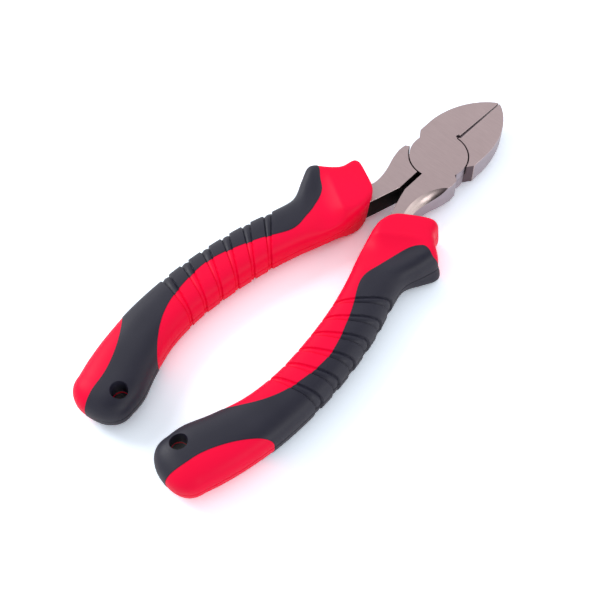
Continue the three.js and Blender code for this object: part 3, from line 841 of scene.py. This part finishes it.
def slab(name, outline):
    """A slab over a plan outline, right through a grip, whose front border leans with the finger stop."""
    def shift(x, y):
        across = COVER_LEAN + (COVER_LEAN_OUTSIDE - COVER_LEAN) * eased(*COVER_LEAN_TURN, x)
        return across * eased(*COVER_LEAN_SPAN, y) * CUT_REACH / COLLAR_HALF_THICKNESS

    solid = bmesh.new()
    low = [solid.verts.new((x, y - shift(x, y), MID_HEIGHT - CUT_REACH)) for x, y in outline]
    high = [solid.verts.new((x, y + shift(x, y), MID_HEIGHT + CUT_REACH)) for x, y in outline]
    solid.faces.new(low[::-1])
    solid.faces.new(high)
    for i in range(len(low)):
        solid.faces.new((low[i - 1], low[i], high[i], high[i - 1]))
    bmesh.ops.recalc_face_normals(solid, faces=solid.faces)
    mesh = bpy.data.meshes.new(name)
    solid.to_mesh(mesh)
    solid.free()
    return mesh


def cover_area(name, growth):
    """The plan area of the dark cover, drawn in or grown along its two borders."""
    def shifted(border, side):
        line = smooth_line([on_handle(place) for place in border])
        along = np.gradient(line, axis=0)
        along /= np.linalg.norm(along, axis=1, keepdims=True)
        return line + side * growth * np.stack([along[:, 1], -along[:, 0]], axis=1)

    front = shifted(FRONT_BORDER, 1)
    rear = shifted(REAR_BORDER, -1)
    corners = [(front[-1][0] - CUT_REACH, rear[-1][1]), (front[-1][0] - CUT_REACH, rear[-1][1] - CUT_REACH),
               (rear[-1][0], rear[-1][1] - CUT_REACH)]
    far = [(rear[0][0] + CUT_REACH, rear[0][1]), (rear[0][0] + CUT_REACH, front[0][1])]
    return slab(name, [*front, *corners, *rear[::-1], *far])


def hanging_hole():
    """The hole through the rear of the grip, with its soft rim at both faces."""
    bend_out, bend_down = HOLE_FLARE_BEND
    outline = []
    for side in (-1, 1):
        flare = [
            (HOLE_RADIUS, MID_HEIGHT + side * (HOLE_FACE - HOLE_FLARE_DEPTH)),
            (HOLE_RADIUS + bend_out * HOLE_FLARE,
             MID_HEIGHT + side * (HOLE_FACE - bend_down * HOLE_FLARE_DEPTH)),
            (HOLE_RADIUS + HOLE_FLARE, MID_HEIGHT + side * HOLE_FACE),
            (HOLE_RADIUS + HOLE_FLARE, MID_HEIGHT + side * CUT_REACH),
            (0, MID_HEIGHT + side * CUT_REACH),
        ]
        outline += flare[::-1] if side < 0 else flare
    return turned("hanging_hole", outline, on_handle(HOLE_PLACE))


def hole_mouths(growth):
    """The wider mouths of that hole, which the dark layer lines. Near the faces this lining is the cover's
    own; further in it is painted shade inside the hole.
    """
    wide = HOLE_RADIUS + HOLE_LINING + growth
    narrow = HOLE_RADIUS / 2
    step = HOLE_FACE - HOLE_LINING_AND_SHADE_DEPTH - growth
    half = [(narrow, step), (wide, step), (wide, CUT_REACH), (0, CUT_REACH)]
    outline = [(radius, MID_HEIGHT - height) for radius, height in half[::-1]]
    outline += [(radius, MID_HEIGHT + height) for radius, height in half]
    return turned("hole_mouths", outline, on_handle(HOLE_PLACE))


def turned_over(mesh):
    """The same piece for the left-hand side, which is the right-hand one turned over."""
    other = mesh.copy()
    points = np.empty(len(other.vertices) * 3, np.float32)
    other.vertices.foreach_get("co", points)
    points = points.reshape(-1, 3) * (-1, 1, -1) + (0, 0, 2 * MID_HEIGHT)
    other.vertices.foreach_set("co", points.astype(np.float32).reshape(-1))
    other.update()
    return other


def grip_piece(name, mesh, material, node, body):
    """One moulded layer of a grip, cleaned, dressed and set on its body."""
    clear_slivers(mesh)
    mesh.materials.clear()
    mesh.materials.append(material)
    for attribute in ("groove_row", "groove_across"):
        if attribute in mesh.attributes:
            mesh.attributes.remove(mesh.attributes[attribute])
    mesh.shade_smooth()
    mesh.set_sharp_from_angle(angle=SHARP_ANGLE)
    piece = bpy.data.objects.new(name, mesh)
    scene.collection.objects.link(piece)
    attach(piece, body)
    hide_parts(node)


def red_plastic():
    """Hard moulded plastic with a fine spark-eroded grain and a little flow marking."""
    material, tree, place, shader = new_material("red_plastic")
    grain = grain_in(tree, place, EVEN_GRAIN, RED_GRAIN_SCALE, RED_CLOUD_SCALE)
    colour = mixed_colour(tree, ranged(tree, grain.outputs["Cloud"]), RED_COLOUR, RED_SHADE)
    sheen = ranged(tree, grain.outputs["Grain"], *RED_ROUGHNESS)
    pores = bumped(tree, grain.outputs["Grain"], RED_BUMP, RED_BUMP_DEPTH)
    tree.links.new(colour, shader.inputs["Base Color"])
    tree.links.new(sheen, shader.inputs["Roughness"])
    tree.links.new(pores, shader.inputs["Normal"])
    shader.inputs["Specular IOR Level"].default_value = RED_SPECULAR
    return material


RED = red_plastic()
sleeve_mesh = grooved("sleeve", 0.0, RED)
sleeve_mesh = carved(sleeve_mesh, "DIFFERENCE", cover_area("sleeve_edge", COVER_GAP / 2))
sleeve_mesh = carved(sleeve_mesh, "UNION", loft("core", COVER_THICKNESS + COVER_GAP))
sleeve_mesh = carved(sleeve_mesh, "DIFFERENCE", hole_mouths(COVER_GAP))
sleeve_mesh = carved(sleeve_mesh, "DIFFERENCE", hanging_hole())
grip_piece("right_grip_moulding", sleeve_mesh, RED, "right_grip_sleeve", "right_half")
left_sleeve_mesh = turned_over(sleeve_mesh)
grip_piece("left_grip_moulding", left_sleeve_mesh, RED, "left_grip_sleeve", "left_half")


# Grip covers: dark thermoplastic rubber, moulded over the sleeve in a second shot and a little proud of it.
# It wraps the outside of the finger stop, crosses the handle in an S and closes round the rear end.
COVER_PROUD = 0.10 * MM
BLACK_COLOUR = (0.012, 0.012, 0.026, 1)
BLACK_SHADE = (0.016, 0.016, 0.031, 1)
BLACK_GRAIN_SCALE = 3600.0
BLACK_CLOUD_SCALE = 90.0
BLACK_ROUGHNESS = (0.44, 0.58)
BLACK_BUMP = 0.30
BLACK_BUMP_DEPTH = 0.05 * MM
BLACK_SPECULAR = 0.38


def black_rubber():
    """Thermoplastic rubber with a matt skin and a trace of dust in its grain."""
    material, tree, place, shader = new_material("black_rubber")
    grain = grain_in(tree, place, EVEN_GRAIN, BLACK_GRAIN_SCALE, BLACK_CLOUD_SCALE)
    colour = mixed_colour(tree, ranged(tree, grain.outputs["Cloud"]), BLACK_COLOUR, BLACK_SHADE)
    matt = ranged(tree, grain.outputs["Grain"], *BLACK_ROUGHNESS)
    pores = bumped(tree, grain.outputs["Grain"], BLACK_BUMP, BLACK_BUMP_DEPTH)
    tree.links.new(colour, shader.inputs["Base Color"])
    tree.links.new(matt, shader.inputs["Roughness"])
    tree.links.new(pores, shader.inputs["Normal"])
    shader.inputs["Specular IOR Level"].default_value = BLACK_SPECULAR
    return material


BLACK = black_rubber()
cover_mesh = grooved("cover", -COVER_PROUD, BLACK)
cover_mesh = carved(cover_mesh, "INTERSECT", cover_area("cover_edge", -COVER_GAP / 2))
cover_core = carved(loft("cover_core", COVER_THICKNESS), "DIFFERENCE", hole_mouths(0.0))
cover_mesh = carved(cover_mesh, "DIFFERENCE", cover_core)
cover_mesh = carved(cover_mesh, "DIFFERENCE", hanging_hole())
grip_piece("right_grip_overmould", cover_mesh, BLACK, "right_grip_cover", "right_half")
left_cover_mesh = turned_over(cover_mesh)
grip_piece("left_grip_overmould", left_cover_mesh, BLACK, "left_grip_cover", "left_half")


# Studio: a white floor that keeps the tool's soft shadow, a large soft light over the left of the tool, a
# weaker one to its right, a dark flag overhead that only reflections show, and a white surround.
FLOOR_HALF_SIZE = 2.0
FLOOR_GAP = 0.05 * MM
FLOOR_COLOUR = (0.90, 0.90, 0.91, 1)
FLOOR_MIRRORED = (1.12, 1.12, 1.14, 1)
FLOOR_SEEN = (1.40, 1.53, 1.68, 1)
CARD_CORNERS = ((-1, -1), (1, -1), (1, 1), (-1, 1))
SURROUND_COLOUR = (1, 1, 1, 1)
SURROUND_LIT = 0.72
SURROUND_SEEN = 1.0
FLAG_DISTANCE = 1.0
FLAG_RISE = math.radians(80)
FLAG_HALF_SIZE = 0.6
FLAG_COLOUR = (0.03, 0.03, 0.03, 1)
LAMP_SIZE = 0.60
LAMPS = [
    ("key_softbox", (-0.85, -0.22, 0.65), 6.2),
    ("fill_softbox", (1.00, 0.05, 0.50), 2.5),
]

floor_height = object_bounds()[0][2] - FLOOR_GAP
floor_mesh = bpy.data.meshes.new("studio_floor")
floor_corners = [(x * FLOOR_HALF_SIZE, y * FLOOR_HALF_SIZE, floor_height) for x, y in CARD_CORNERS]
floor_mesh.from_pydata(floor_corners, [], [(0, 1, 2, 3)])
floor = bpy.data.objects.new("studio_floor", floor_mesh)
scene.collection.objects.link(floor)


def seen_by(tree, *rays):
    """1 on rays of the given kinds, and 0 on the rest."""
    path = add(tree, "ShaderNodeLightPath")
    share = path.outputs[rays[0]]
    for ray in rays[1:]:
        either = add(tree, "ShaderNodeMath", {0: share, 1: path.outputs[ray]}, operation="MAXIMUM")
        share = either.outputs["Value"]
    return share


floor_material = bpy.data.materials.new("studio_white")
floor_material.use_nodes = True
floor_tree = floor_material.node_tree
floor_tree.nodes.clear()
floor_mirrored = mixed_colour(
    floor_tree, seen_by(floor_tree, "Is Glossy Ray", "Is Transmission Ray"), FLOOR_COLOUR, FLOOR_MIRRORED)
floor_lit = add(floor_tree, "ShaderNodeBsdfDiffuse", {
    "Color": mixed_colour(floor_tree, seen_by(floor_tree, "Is Camera Ray"), floor_mirrored, FLOOR_SEEN)})
add(floor_tree, "ShaderNodeOutputMaterial", {"Surface": floor_lit.outputs["BSDF"]})
floor_mesh.materials.append(floor_material)

flag_material = bpy.data.materials.new("studio_dark")
flag_material.use_nodes = True
flag_material.node_tree.nodes.clear()
flag_dark = add(flag_material.node_tree, "ShaderNodeBsdfDiffuse", {"Color": FLAG_COLOUR})
add(flag_material.node_tree, "ShaderNodeOutputMaterial", {"Surface": flag_dark.outputs["BSDF"]})
flag_way = Vector((
    math.sin(VIEW_TURN) * math.cos(FLAG_RISE),
    -math.cos(VIEW_TURN) * math.cos(FLAG_RISE),
    math.sin(FLAG_RISE),
))
flag_side = Vector((math.cos(VIEW_TURN), math.sin(VIEW_TURN), 0))
flag_corners = [
    VIEW_TARGET + FLAG_DISTANCE * flag_way + FLAG_HALF_SIZE * (x * flag_side + y * flag_way.cross(flag_side))
    for x, y in CARD_CORNERS
]
flag_mesh = bpy.data.meshes.new("studio_flag")
flag_mesh.from_pydata(flag_corners, [], [(0, 1, 2, 3)])
flag_mesh.materials.append(flag_material)
flag = bpy.data.objects.new("studio_flag", flag_mesh)
scene.collection.objects.link(flag)
flag.visible_camera = False
flag.visible_diffuse = False
flag.visible_transmission = False
flag.visible_shadow = False

surround = bpy.data.worlds.new("studio_surround")
scene.world = surround
surround.use_nodes = True
surround_tree = surround.node_tree
surround_tree.nodes.clear()
surround_strength = add(surround_tree, "ShaderNodeMapRange", {
    "Value": seen_by(surround_tree, "Is Camera Ray", "Is Glossy Ray", "Is Transmission Ray"),
    "To Min": SURROUND_LIT, "To Max": SURROUND_SEEN})
surround_light = add(surround_tree, "ShaderNodeBackground", {
    "Color": SURROUND_COLOUR, "Strength": surround_strength.outputs["Result"]})
add(surround_tree, "ShaderNodeOutputWorld", {"Surface": surround_light.outputs["Background"]})

for name, place, power in LAMPS:
    lamp = bpy.data.objects.new(name, bpy.data.lights.new(name, "AREA"))
    lamp.data.shape = "DISK"
    lamp.data.size = LAMP_SIZE
    lamp.data.energy = power
    lamp.location = place
    lamp.rotation_euler = (Vector(place) - VIEW_TARGET).to_track_quat("Z", "Y").to_euler()
    scene.collection.objects.link(lamp)
